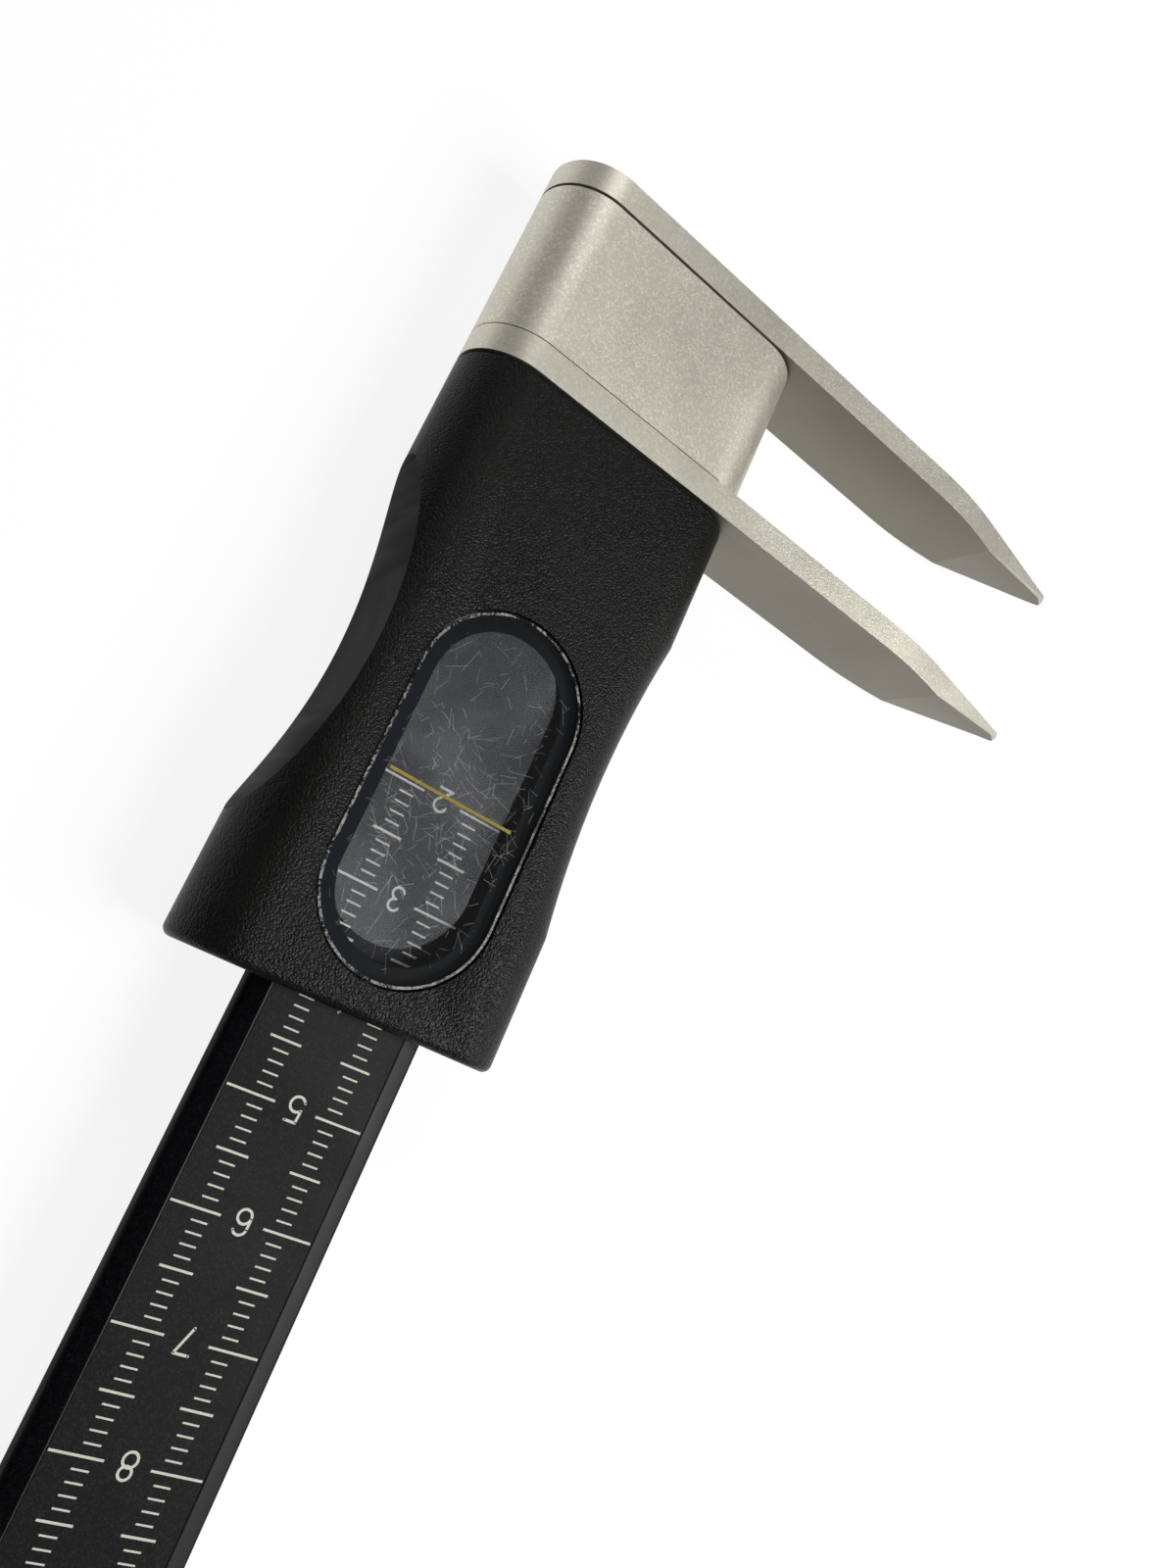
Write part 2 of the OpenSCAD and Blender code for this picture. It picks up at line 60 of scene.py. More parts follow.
# The photograph's camera: its height in pixels sets the field of view
PHOTO_HEIGHT = 1600
FOCAL_PIXELS = 1210.52
SENSOR_MM = 36.0
CLIP_START = 5.0 * MM
CAMERA_PLACE = (83.893 * MM, -40.485 * MM, 109.940 * MM)
CAMERA_RIGHT = (-0.387885, 0.761777, 0.518885)
CAMERA_UP = (-0.887479, -0.460668, 0.012885)
CAMERA_BACK = (0.248849, -0.455501, 0.854747)

# Each lamp's power setting, place and size, in metres
LAMP_TARGET = (0.045, 0.005, 0.0)
LAMPS = {
    "Key Lamp": ("key_power", (0.123, 0.494, 0.563), 0.4),
    "Side Lamp": ("side_power", (-0.53, -0.089, 0.472), 0.28),
    "Fill Lamp": ("fill_power", (-0.42, -0.49, 0.27), 0.45),
}
SKY_COLOUR = (0.97, 0.985, 1.0, 1.0)
FLOOR_COLOUR = (0.95, 0.95, 0.94, 1.0)
WHITE = (1.0, 1.0, 1.0, 1.0)
FLOOR_HALF_SIZE = 3.0
FLOOR_DROP = 0.02 * MM

# Copies of CAD nodes: the distance of doubles, and angles in degrees up to which faces are
# joined, from which a shaded edge is sharp, and from which it is rounded
DOUBLES = 0.002 * MM
FLATNESS = 0.4
HOUSING_FLATNESS = 0.05
SHARP_ANGLE = 30
ROUNDED_ANGLE = 28
ROUNDED_SEGMENTS = 2

# The thumb scallop's axis and radius, as in the part's source
SCALLOP_AXIS = (53.7 * MM, -61.55 * MM)
SCALLOP_RADIUS = 48.6 * MM

# Edges of the beam longer than this run along it
BEAM_LIP_LENGTH = 100.0 * MM
BEAM_LIP_SEGMENTS = 5

# A corner this near a surface lies on it
ON_SURFACE = 0.05 * MM

# Shares of a face's normal: along X for a blade's flat side, which gets a painted-shade tone,
# across for a dull side of the beam, and to -Y for its dull lip
FLAT_SIDE = 0.9
DULL_SIDE = 0.6
DULL_LIP = -0.1

# The marks are grooves 0.08 mm deep that paint fills nearly to the top and the ends
PAINT_DEPTH = 0.066 * MM
PAINT_MIDDLE = 0.043 * MM
PAINT_GAP = 0.01 * MM
NUMBER_THICKNESS = 0.012 * MM
STROKE_STEP = 0.001 * MM
STROKE_END_SEGMENTS = 10
ARC_STEP_DEGREES = 18
LEAST_ARC_STEPS = 4

# Wear and painted light of the lens: the painted-light haze's shift as a share of the painted
# shade's width, the densest place of wear as a share of half the straight length, and the
# shares of the half width that scratches start in and may reach
WEAR_THICKNESS = 0.004 * MM
SHADE_SHIFT = 0.9
WEAR_CENTRE = 0.4
WEAR_ROOM = 0.88
WEAR_REACH = 0.9

# Scratches and specks: least and greatest, and the most likely where a third is given, in
# millimetres except for the share of the greatest width
SCRATCH_RADIUS = (10.0, 120.0)
SCRATCH_LENGTH = (0.25, 3.0, 0.4)
SCRATCH_WIDTH_SHARE = (0.4, 1.0)
SCRATCH_STEPS = 6
SPECK_RADIUS = (0.012, 0.035)
SPECK_SEGMENTS = 6

# Dark and light tones of the finishes that have no setting
TONES = {
    "Screw Steel": ((0.30, 0.30, 0.31), (0.48, 0.48, 0.49)),
    "Ground Steel": ((0.42, 0.42, 0.43), (0.60, 0.60, 0.61)),
    "Insert Brass": ((0.42, 0.30, 0.11), (0.66, 0.48, 0.20)),
    "Carrier Plastic": ((0.005, 0.0055, 0.006), (0.008, 0.0088, 0.0095)),
    "Glide Plastic": ((0.62, 0.61, 0.57), (0.72, 0.71, 0.67)),
    "Gasket Rubber": ((0.0044, 0.0058, 0.0082), (0.0076, 0.0094, 0.0126)),
    "Hairline Yellow": ((0.36, 0.265, 0.008), (0.44, 0.33, 0.014)),
    "Chipped Rim": ((0.006, 0.007, 0.008), (0.26, 0.26, 0.245)),
    "Scuffed Acrylic": ((0.25, 0.25, 0.245), (0.46, 0.46, 0.45)),
}

# What a sparkling grain adds to the relief, and how far the pebbles are bent
SPARKLE_HEIGHT = 0.35
PEBBLE_BEND = 0.25 * MM

# Tints of the window, and how much lighter the light tones of beam and scallop are
LENS_TINT = (0.63, 0.65, 0.68)
# Pale tone of the lens dust, which where it is thicker also paints light on the strip
DUST_AND_LIGHT_TONE = (0.50, 0.50, 0.505)
BEAM_LIGHT = 4.0
SCALLOP_LIGHT = 1.2

# Strokes of the digits on a field 2.2 mm high, in millimetres from its middle.
# A line is its points; an arc or a ring is its centre, radius, first and last angle.
DIGIT_FIELD = 2.2
DIGITS = {
    "0": (("arc", 0, 0.48, 0.62, 0, 180), ("line", -0.62, 0.48, -0.62, -0.48),
          ("arc", 0, -0.48, 0.62, 180, 360), ("line", 0.62, -0.48, 0.62, 0.48)),
    "1": (("line", -0.38, 0.62, 0.08, 1.1), ("line", 0.08, 1.1, 0.08, -1.1)),
    "2": (("arc", 0, 0.45, 0.65, 170, -38), ("line", 0.512, 0.05, -0.66, -1.1),
          ("line", -0.66, -1.1, 0.68, -1.1)),
    "3": (("arc", 0, 0.56, 0.54, 160, -90), ("arc", 0, -0.54, 0.56, 90, -160)),
    "4": (("line", 0.22, 1.1, -0.7, -0.45), ("line", -0.7, -0.45, 0.7, -0.45),
          ("line", 0.3, 0.15, 0.3, -1.1)),
    "5": (("line", 0.58, 1.1, -0.46, 1.1), ("line", -0.46, 1.1, -0.54, 0.02),
          ("arc", 0, -0.43, 0.67, 138, -155)),
    "6": (("ring", 0, -0.48, 0.62, 0, 360), ("line", -0.62, -0.48, -0.62, 0.46),
          ("arc", 0, 0.46, 0.62, 180, 28)),
    "7": (("line", -0.66, 1.1, 0.66, 1.1), ("line", 0.66, 1.1, -0.22, -1.1)),
    "8": (("ring", 0, 0.56, 0.54, 0, 360), ("ring", 0, -0.48, 0.62, 0, 360)),
    "9": (("ring", 0, 0.48, 0.62, 0, 360), ("line", 0.62, 0.48, 0.62, -0.46),
          ("arc", 0, -0.46, 0.62, 0, -152)),
}


def add_node(tree, kind, place=(0, 0), **settings):
    """A node with its settings; keys that start with "in_" set an input's value by its name."""
    made = tree.nodes.new(kind)
    made.location = place
    for key, value in settings.items():
        if key.startswith("in_"):
            made.inputs[key[3:].replace("_", " ")].default_value = value
        else:
            setattr(made, key, value)
    return made


def calculate(tree, operation, place, *values):
    """The result of a Math node, whose values are sockets or plain numbers."""
    made = add_node(tree, "ShaderNodeMath", place, operation=operation)
    for socket, value in zip(made.inputs, values):
        if isinstance(value, bpy.types.NodeSocket):
            tree.links.new(value, socket)
        else:
            socket.default_value = value
    return made.outputs[0]


def map_value(tree, value, low, high, place=(-400, -50)):
    """A value from 0 to 1 mapped onto a range."""
    mapped = add_node(tree, "ShaderNodeMapRange", place, in_To_Min=low, in_To_Max=high)
    tree.links.new(value, mapped.inputs["Value"])
    return mapped.outputs["Result"]


def build_grain(tree, source, sink, coords):
    """Fine blasted or cast grain: sparkle is a sharp mask of single grains, height their relief."""
    link = tree.links.new
    noise = add_node(tree, "ShaderNodeTexNoise", (-600, 100), in_Detail=4.0, in_Roughness=0.65)
    cells = add_node(tree, "ShaderNodeTexVoronoi", (-600, -200), feature="F1")
    for texture in (noise, cells):
        link(coords, texture.inputs["Vector"])
        link(source["Grain Scale"], texture.inputs["Scale"])
    cut = add_node(tree, "ShaderNodeMapRange", (-200, -200))
    link(cells.outputs["Color"], cut.inputs["Value"])
    link(source["Sparkle Cut"], cut.inputs["From Min"])
    sparkle = cut.outputs["Result"]
    height = calculate(tree, "MULTIPLY_ADD", (100, 100), sparkle, SPARKLE_HEIGHT,
                       noise.outputs["Fac"])
    link(height, sink["Height"])
    link(sparkle, sink["Sparkle"])


def build_pebble(tree, source, sink, coords):
    """Pebbled mould texture of rounded, slightly uneven bumps."""
    link = tree.links.new
    warp = add_node(tree, "ShaderNodeTexNoise", (-650, -150), in_Scale=1500.0, in_Detail=2.0)
    link(coords, warp.inputs["Vector"])
    bend = add_node(tree, "ShaderNodeVectorMath", (-400, 0), operation="MULTIPLY_ADD")
    bend.inputs[1].default_value = [PEBBLE_BEND] * 3
    link(warp.outputs["Color"], bend.inputs[0])
    link(coords, bend.inputs[2])
    cells = add_node(tree, "ShaderNodeTexVoronoi", (-150, 100), feature="SMOOTH_F1",
                     in_Smoothness=0.3)
    link(bend.outputs[0], cells.inputs["Vector"])
    link(source["Pebble Scale"], cells.inputs["Scale"])
    height = calculate(tree, "SUBTRACT", (150, 100), 1.0, cells.outputs["Distance"])
    link(height, sink["Height"])


def build_smudge(tree, source, sink, coords):
    """Broad soft unevenness from handling."""
    link = tree.links.new
    noise = add_node(tree, "ShaderNodeTexNoise", (-500, 0), in_Detail=5.0, in_Roughness=0.6,
                     in_Distortion=0.6)
    link(coords, noise.inputs["Vector"])
    link(source["Smudge Scale"], noise.inputs["Scale"])
    spread = add_node(tree, "ShaderNodeMapRange", (-200, 0), interpolation_type="SMOOTHSTEP",
                      in_From_Min=0.35, in_From_Max=0.7)
    link(noise.outputs["Fac"], spread.inputs["Value"])
    link(spread.outputs["Result"], sink["Smudge"])


def build_chips(tree, source, sink, coords):
    """Patchy chips and frosting along a rim: broad patches broken up by a fine grain."""
    link = tree.links.new
    parts = []
    for label, height, roughness in (("Patch Scale", 150, 0.6), ("Chip Scale", -150, 0.7)):
        noise = add_node(tree, "ShaderNodeTexNoise", (-600, height), in_Detail=3.0,
                         in_Roughness=roughness)
        link(coords, noise.inputs["Vector"])
        link(source[label], noise.inputs["Scale"])
        parts.append(noise.outputs["Fac"])
    cut = add_node(tree, "ShaderNodeMapRange", (-100, 0), in_From_Min=0.98, in_From_Max=1.2)
    link(calculate(tree, "ADD", (-350, 0), *parts), cut.inputs["Value"])
    link(cut.outputs["Result"], sink["Chips"])


# Each shader node group's builder, inputs and outputs
GROUPS = {
    "Fine Grain": (build_grain, ("Grain Scale", "Sparkle Cut"), ("Height", "Sparkle")),
    "Moulded Pebble": (build_pebble, ("Pebble Scale",), ("Height",)),
    "Handling Smudge": (build_smudge, ("Smudge Scale",), ("Smudge",)),
    "Rim Chips": (build_chips, ("Patch Scale", "Chip Scale"), ("Chips",)),
}


def new_group(name):
    """A shader node group that reads its object's own coordinates."""
    build, inputs, outputs = GROUPS[name]
    tree = bpy.data.node_groups.new(name, "ShaderNodeTree")
    for direction, labels in (("INPUT", inputs), ("OUTPUT", outputs)):
        for label in labels:
            tree.interface.new_socket(label, in_out=direction, socket_type="NodeSocketFloat")
    source = add_node(tree, "NodeGroupInput", (-900, 0))
    sink = add_node(tree, "NodeGroupOutput", (600, 0))
    coords = add_node(tree, "ShaderNodeTexCoord", (-900, -250))
    build(tree, source.outputs, sink.inputs, coords.outputs["Object"])
    return tree


def use_group(tree, name, place, **values):
    """The outputs of a placed node group, which is built the first time it is used."""
    group = bpy.data.node_groups.get(name) or new_group(name)
    return add_node(tree, "ShaderNodeGroup", place, node_tree=group, **values).outputs


def use_grain(tree, scale, cut):
    """The fine grain's outputs."""
    return use_group(tree, "Fine Grain", (-900, 100), in_Grain_Scale=scale, in_Sparkle_Cut=cut)


def use_smudge(tree, scale):
    """The smudges' mask."""
    return use_group(tree, "Handling Smudge", (-900, -200), in_Smudge_Scale=scale)["Smudge"]


def new_material(name, **shader_values):
    """A material with a Principled BSDF whose named sockets are set."""
    material = bpy.data.materials.new(name)
    material.use_nodes = True
    tree = material.node_tree
    shader = tree.nodes["Principled BSDF"]
    for key, value in shader_values.items():
        shader.inputs[key.replace("_", " ")].default_value = value
    return material, tree, shader


def colour_by(tree, shader, mask, dark, light):
    """Lets a mask mix the shader's colour from two tones."""
    blended = add_node(tree, "ShaderNodeMix", (-400, 200), data_type="RGBA")
    blended.inputs[6].default_value = (*dark, 1.0)
    blended.inputs[7].default_value = (*light, 1.0)
    tree.links.new(mask, blended.inputs[0])
    tree.links.new(blended.outputs[2], shader.inputs["Base Color"])


def roughen_by(tree, shader, mask, low, high):
    """Lets a mask move the shader's roughness between two values."""
    tree.links.new(map_value(tree, mask, low, high), shader.inputs["Roughness"])


def add_bump(tree, shader, height, distance, strength):
    """Feeds a height into the shader's normal."""
    bump = add_node(tree, "ShaderNodeBump", (-250, -350), in_Strength=strength,
                    in_Distance=distance)
    tree.links.new(height, bump.inputs["Height"])
    tree.links.new(bump.outputs["Normal"], shader.inputs["Normal"])


def blasted_aluminium(name, dark, light, roughness=0.44, sparkle=0.78, relief=0.038 * MM):
    """Clear anodised aluminium with a bead-blasted grain."""
    material, tree, shader = new_material(name, Metallic=1.0)
    grain = use_grain(tree, scale=5600.0, cut=0.5)
    smudge = use_smudge(tree, scale=55.0)
    base = map_value(tree, smudge, low=0.25, high=0.30, place=(-650, -150))
    tone = calculate(tree, "MULTIPLY_ADD", (-650, 100), grain["Sparkle"], sparkle, base)
    colour_by(tree, shader, tone, dark, light)
    roughen_by(tree, shader, smudge, low=roughness - 0.02, high=roughness + 0.03)
    add_bump(tree, shader, grain["Height"], distance=relief, strength=0.8)
    return material


def black_anodised(name, dark, light, specular, grain_scale, roughness):
    """Black anodised aluminium with a fine satin grain."""
    material, tree, shader = new_material(name, Specular_IOR_Level=specular)
    grain = use_grain(tree, scale=grain_scale, cut=0.55)
    colour_by(tree, shader, grain["Sparkle"], dark, light)
    smudge = use_smudge(tree, scale=90.0)
    roughen_by(tree, shader, smudge, low=roughness - 0.04, high=roughness + 0.06)
    add_bump(tree, shader, grain["Height"], distance=0.012 * MM, strength=0.6)
    return material


def pebbled_plastic(name, dark, light, specular):
    """Black moulded plastic with a pebble texture that shines a little on its tops."""
    material, tree, shader = new_material(name, Specular_IOR_Level=specular)
    pebble = use_group(tree, "Moulded Pebble", (-900, 100), in_Pebble_Scale=4600.0)
    smudge = use_smudge(tree, scale=45.0)
    colour_by(tree, shader, smudge, dark, light)
    roughen_by(tree, shader, smudge, low=0.34, high=0.43)
    add_bump(tree, shader, pebble["Height"], distance=0.08 * MM, strength=1.0)
    return material


def plain_plastic(name, dark, light, specular=0.3, roughness=0.5):
    """Moulded plastic or rubber with only a very fine grain."""
    material, tree, shader = new_material(name, Specular_IOR_Level=specular)
    grain = use_grain(tree, scale=8000.0, cut=0.8)
    smudge = use_smudge(tree, scale=55.0)
    colour_by(tree, shader, smudge, dark, light)
    roughen_by(tree, shader, smudge, low=roughness - 0.05, high=roughness + 0.05)
    add_bump(tree, shader, grain["Height"], distance=0.006 * MM, strength=0.6)
    return material


def machined_metal(name, roughness=0.3):
    """Turned or rolled metal with faint marks and a little tarnish."""
    material, tree, shader = new_material(name, Metallic=1.0)
    grain = use_grain(tree, scale=7000.0, cut=0.6)
    smudge = use_smudge(tree, scale=300.0)
    colour_by(tree, shader, smudge, *TONES[name])
    roughen_by(tree, shader, smudge, low=roughness - 0.06, high=roughness + 0.1)
    add_bump(tree, shader, grain["Height"], distance=0.006 * MM, strength=0.5)
    return material


def clear_acrylic(name, tint):
    """Clear acrylic with an unevenly dulled face; light from the lamps passes straight through."""
    material, tree, shader = new_material(name, IOR=1.49, Specular_IOR_Level=0.35,
                                          Transmission_Weight=1.0, Base_Color=(*tint, 1.0))
    roughen_by(tree, shader, use_smudge(tree, scale=160.0), low=0.004, high=0.02)
    rays = add_node(tree, "ShaderNodeLightPath", (0, 350))
    through = add_node(tree, "ShaderNodeBsdfTransparent", (0, -400))
    mixed = add_node(tree, "ShaderNodeMixShader", (450, 100))
    tree.links.new(rays.outputs["Is Shadow Ray"], mixed.inputs[0])
    tree.links.new(shader.outputs[0], mixed.inputs[1])
    tree.links.new(through.outputs[0], mixed.inputs[2])
    tree.links.new(mixed.outputs[0], tree.nodes["Material Output"].inputs["Surface"])
    return material


def dusty_film(name, amount):
    """Thin dust that veils what is behind it unevenly; how strongly it veils also paints light and
    shade.
    """
    material, tree, shader = new_material(name, Roughness=0.8, Specular_IOR_Level=0.0,
                                          Base_Color=(*DUST_AND_LIGHT_TONE, 1.0))
    veil = map_value(tree, use_smudge(tree, scale=110.0), low=0.6 * amount, high=1.4 * amount)
    tree.links.new(veil, shader.inputs["Alpha"])
    return material


def chipped_rim(name):
    """Ground edge of the lens, frosted where it has chipped."""
    material, tree, shader = new_material(name)
    chips = use_group(tree, "Rim Chips", (-900, 100), in_Patch_Scale=420.0,
                      in_Chip_Scale=3600.0)["Chips"]
    colour_by(tree, shader, chips, *TONES[name])
    roughen_by(tree, shader, chips, low=0.12, high=0.65)
    add_bump(tree, shader, chips, distance=0.02 * MM, strength=0.7)
    return material


def printed_ink(name, colour, worn):
    """Printed or paint-filled mark with slight unevenness."""
    material, tree, shader = new_material(name, Roughness=0.6)
    grain = use_grain(tree, scale=9000.0, cut=0.6)
    colour_by(tree, shader, grain["Sparkle"], colour, worn)
    add_bump(tree, shader, grain["Height"], distance=0.005 * MM, strength=0.5)
    return material


def finish_piece(work, name, materials, body, sharp_angle=None):
    """Turns a bmesh into a piece at the origin that rides on its body."""
    bmesh.ops.recalc_face_normals(work, faces=work.faces)
    mesh = bpy.data.meshes.new(name)
    work.to_mesh(mesh)
    work.free()
    for material in materials:
        mesh.materials.append(material)
    if sharp_angle is not None:
        for polygon in mesh.polygons:
            polygon.use_smooth = True
        mesh.set_sharp_from_angle(angle=math.radians(sharp_angle))
    piece = bpy.data.objects.new(name, mesh)
    bpy.context.scene.collection.objects.link(piece)
    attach(piece, body)
    return piece


def copy_node(node, flatness=FLATNESS):
    """The merged surface of a CAD node as a bmesh, with nearly flat regions joined."""
    work = bmesh.new()
    work.from_mesh(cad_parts[node].data)
    bmesh.ops.remove_doubles(work, verts=work.verts, dist=DOUBLES)
    bmesh.ops.dissolve_limit(work, angle_limit=math.radians(flatness), verts=work.verts,
                             edges=work.edges)
    return work


def soften_edges(piece, width):
    """Rounds the piece's sharp edges."""
    rounding = piece.modifiers.new("Edge Rounding", "BEVEL")
    rounding.width = width
    rounding.segments = ROUNDED_SEGMENTS
    rounding.limit_method = "ANGLE"
    rounding.angle_limit = math.radians(ROUNDED_ANGLE)
    rounding.harden_normals = True
    rounding.miter_outer = "MITER_ARC"
    rounding.use_clamp_overlap = True


def dress_node(node, material):
    """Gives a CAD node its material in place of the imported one."""
    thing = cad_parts[node]
    thing.data.materials.clear()
    thing.data.materials.append(material)


def rounded_copy(node, materials, body, width, pick=None, shape=None, flatness=FLATNESS):
    """A copy of a CAD node with rounded edges that stands for it.

    A shape function changes the copy first; a pick function chooses each face's material.
    """
    work = copy_node(node, flatness)
    if shape is not None:
        shape(work)
    if pick is not None:
        for face in work.faces:
            face.material_index = pick(face)
    piece = finish_piece(work, node + "_finished", materials, body, SHARP_ANGLE)
    soften_edges(piece, width)
    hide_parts(node)


def is_flat_side(face):
    """1 for the blades' flat sides, which take the painted-shade tone, 0 for their edges."""
    return int(abs(face.normal.x) > FLAT_SIDE)


def is_dull_side(face):
    """1 for the beam's sides and its shaded lip, 0 for the rest of it."""
    return int(abs(face.normal.y) > DULL_SIDE or face.normal.y < DULL_LIP)


def is_scallop(face):
    """1 for the thumb scallop's smooth face, 0 for the pebbled skin."""
    away = [math.dist(corner.co.xy, SCALLOP_AXIS) - SCALLOP_RADIUS for corner in face.verts]
    return int(max(abs(step) for step in away) < ON_SURFACE)


def round_lips(work):
    """Rounds the long edges between the beam's lips and its sides."""
    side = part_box("beam")[1][1]
    lips = [edge for edge in work.edges if edge.calc_length() > BEAM_LIP_LENGTH
            and all(abs(abs(corner.co.y) - side) < ON_SURFACE for corner in edge.verts)]
    bmesh.ops.bevel(work, geom=lips, offset=bpy.context.scene.caliper_finish.beam_rounding,
                    offset_type="OFFSET", segments=BEAM_LIP_SEGMENTS, profile=0.5,
                    affect="EDGES", material=-1)


def sweep_line(work, start, end, width):
    """A straight flat stroke between two points of the drawing plane."""
    start, end = Vector((*start, 0.0)), Vector((*end, 0.0))
    across = (end - start).normalized().cross(Vector((0.0, 0.0, 1.0))) * width / 2
    edge = work.edges.new([work.verts.new(start - across), work.verts.new(start + across)])
    made = bmesh.ops.extrude_edge_only(work, edges=[edge])["geom"]
    moved = [part for part in made if isinstance(part, bmesh.types.BMVert)]
    bmesh.ops.translate(work, verts=moved, vec=end - start)


def sweep_arc(work, centre, radius, start, end, width, steps):
    """A flat stroke along an arc of the drawing plane, with its angles in degrees."""
    inner, outer = (work.verts.new((*arc_point(centre, reach, start), 0.0))
                    for reach in (radius - width / 2, radius + width / 2))
    edge = work.edges.new([inner, outer])
    whole = abs(end - start) >= 360
    bmesh.ops.spin(work, geom=[inner, outer, edge], cent=(*centre, 0.0), axis=(0.0, 0.0, 1.0),
                   angle=math.radians(end - start), steps=steps, use_merge=whole)


def add_disc(work, place, radius, segments):
    """A flat round dot of the drawing plane."""
    bmesh.ops.create_circle(work, cap_ends=True, segments=segments, radius=radius,
                            matrix=Matrix.Translation((*place, 0.0)))


def arc_point(centre, radius, angle):
    """The point of a circle at an angle in degrees."""
    turn = math.radians(angle)
    return centre[0] + radius * math.cos(turn), centre[1] + radius * math.sin(turn)


def draw_digit(work, digit, scale, width):
    """Draws a digit about the origin of the drawing plane, each stroke a hair above the last."""
    for level, (kind, *values) in enumerate(DIGITS[digit]):
        before = set(work.verts)
        if kind == "line":
            values = [value * scale for value in values]
            ends = values[:2], values[2:]
            sweep_line(work, *ends, width)
        else:
            centre, radius = (values[0] * scale, values[1] * scale), values[2] * scale
            start, end = values[3:]
            steps = max(LEAST_ARC_STEPS, round(abs(end - start) / ARC_STEP_DEGREES))
            sweep_arc(work, centre, radius, start, end, width, steps)
            ends = [arc_point(centre, radius, angle) for angle in (start, end) if kind == "arc"]
        for place in ends:
            add_disc(work, place, width / 2, STROKE_END_SEGMENTS)
        drawn = [corner for corner in work.verts if corner not in before]
        bmesh.ops.translate(work, verts=drawn, vec=(0.0, 0.0, level * STROKE_STEP))


def thicken(work, height):
    """Gives flat strokes that face up their height."""
    made = bmesh.ops.extrude_face_region(work, geom=list(work.faces), use_keep_orig=True)["geom"]
    raised = [part for part in made if isinstance(part, bmesh.types.BMVert)]
    bmesh.ops.translate(work, verts=raised, vec=(0.0, 0.0, height))


class FinishSettings(bpy.types.PropertyGroup):
    """Colours and edge sizes of the finishes."""
    silver_dark: bpy.props.FloatVectorProperty(
        name="Silver, dark", description="Darker tone of the bead-blasted aluminium",
        subtype="COLOR", size=3, default=(0.55, 0.53, 0.445))
    silver_light: bpy.props.FloatVectorProperty(
        name="Silver, light", description="Lighter tone of the bead-blasted aluminium",
        subtype="COLOR", size=3, default=(0.84, 0.81, 0.695))
    # Painted shade: the blades' flat sides get a much darker tone than the rest of the silver
    flat_dark: bpy.props.FloatVectorProperty(
        name="Blade flats, dark", description="Darker tone of the blades' flat sides",
        subtype="COLOR", size=3, default=(0.235, 0.223, 0.183))
    flat_light: bpy.props.FloatVectorProperty(
        name="Blade flats, light", description="Lighter tone of the blades' flat sides",
        subtype="COLOR", size=3, default=(0.30, 0.286, 0.24))
    housing_dark: bpy.props.FloatVectorProperty(
        name="Housing, dark", description="Darker tone of the slider's plastic",
        subtype="COLOR", size=3, default=(0.0034, 0.0034, 0.0030))
    housing_light: bpy.props.FloatVectorProperty(
        name="Housing, light", description="Lighter tone of the slider's plastic",
        subtype="COLOR", size=3, default=(0.0056, 0.0056, 0.0050))
    scallop_tone: bpy.props.FloatVectorProperty(
        name="Thumb scallop", description="Tone of the smooth thumb scallop",
        subtype="COLOR", size=3, default=(0.0044, 0.0044, 0.0040))
    beam_tone: bpy.props.FloatVectorProperty(
        name="Beam", description="Tone of the black anodised beam",
        subtype="COLOR", size=3, default=(0.0020, 0.0020, 0.0026))
    strip_dark: bpy.props.FloatVectorProperty(
        name="Scale, dark", description="Darker tone of the black scale strip",
        subtype="COLOR", size=3, default=(0.0042, 0.0041, 0.0044))
    strip_light: bpy.props.FloatVectorProperty(
        name="Scale, light", description="Lighter grains of the black scale strip",
        subtype="COLOR", size=3, default=(0.017, 0.0165, 0.0175))
    metal_edge: bpy.props.FloatProperty(
        name="Metal edges", description="Rounding of the edges of head block and blades",
        subtype="DISTANCE", unit="LENGTH", default=0.1 * MM, min=0.0)
    housing_edge: bpy.props.FloatProperty(
        name="Housing edges", description="Rounding of the slider housing's edges",
        subtype="DISTANCE", unit="LENGTH", default=0.2 * MM, min=0.0)
    cover_edge: bpy.props.FloatProperty(
        name="Cover edges", description="Rounding of the edges of rear cover and end cap",
        subtype="DISTANCE", unit="LENGTH", default=0.15 * MM, min=0.0)
    beam_edge: bpy.props.FloatProperty(
        name="Beam edges", description="Rounding of the beam's sharp edges",
        subtype="DISTANCE", unit="LENGTH", default=0.04 * MM, min=0.0)
    beam_rounding: bpy.props.FloatProperty(
        name="Beam rounding", description="Rounding between the beam's lips and its sides",
        subtype="DISTANCE", unit="LENGTH", default=0.55 * MM, min=0.0)


